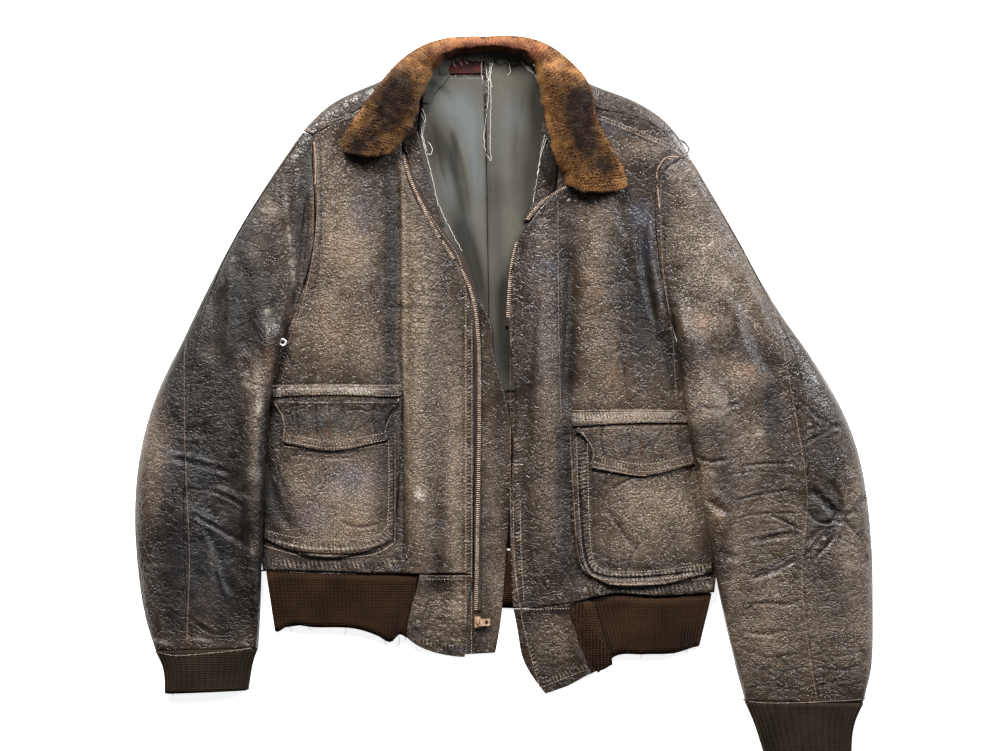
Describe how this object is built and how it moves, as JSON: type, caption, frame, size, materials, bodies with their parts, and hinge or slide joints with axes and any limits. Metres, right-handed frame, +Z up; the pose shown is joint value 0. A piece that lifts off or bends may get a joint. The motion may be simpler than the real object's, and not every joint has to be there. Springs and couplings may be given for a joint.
{
  "type": "leather flying jacket",
  "caption": "Worn brown leather flying jacket laid flat and open, with a fur collar, flap pockets, knitted waistband and cuffs, and a hinged zip pull.",
  "frame": {"origin": "centre of the jacket's plan, on the surface that it lies on", "axes": "+Z up from the surface, +Y from the waistband to the collar, +X to the wearer's left"},
  "size_m": [0.848, 0.837, 0.0418],
  "materials": {
    "leather": "cracked and worn goatskin, half gloss",
    "knit": "ribbed wool knit, matt",
    "fur": "short dense sheared fur, matt",
    "lining": "thin woven cotton, matt",
    "red_leather": "bare leather, matt",
    "zip_tape": "woven cotton tape",
    "brass": "tarnished",
    "steel": "plain plated",
    "button": "dark, half gloss"
  },
  "bodies": {
    "jacket": {"back_panel": "leather", "button_left": "button", "button_right": "button", "cuff_left": "knit", "cuff_right": "knit", "eyelet_right": "steel", "facing_left": "leather", "facing_right": "leather", "front_left": "leather", "front_right": "leather", "fur_collar": "fur", "lining_left": "lining", "lining_right": "lining", "neck_strip": "red_leather", "pocket_flap_left": "leather", "pocket_flap_right": "leather", "pocket_left": "leather", "pocket_right": "leather", "pocket_welt_left": "leather", "pocket_welt_right": "leather", "shoulder_left": "leather", "shoulder_right": "leather", "sleeve_left_back": "leather", "sleeve_left_front": "leather", "sleeve_right_back": "leather", "sleeve_right_front": "leather", "waist_tab_left": "leather", "waist_tab_right": "leather", "waistband": "knit", "wind_flap": "leather", "zip_slider": "brass", "zip_tape_left": "zip_tape", "zip_tape_right": "zip_tape"},
    "pull_tab": {"pull_tab": "brass"}
  },
  "joints": [
    {"name": "pull_tab_hinge", "type": "hinge", "parent": "jacket", "child": "pull_tab", "pos_m": [-0.02999, -0.25583, 0.01135], "axis": [0, -1, 0], "range_deg": [0, 190]}
  ]
}
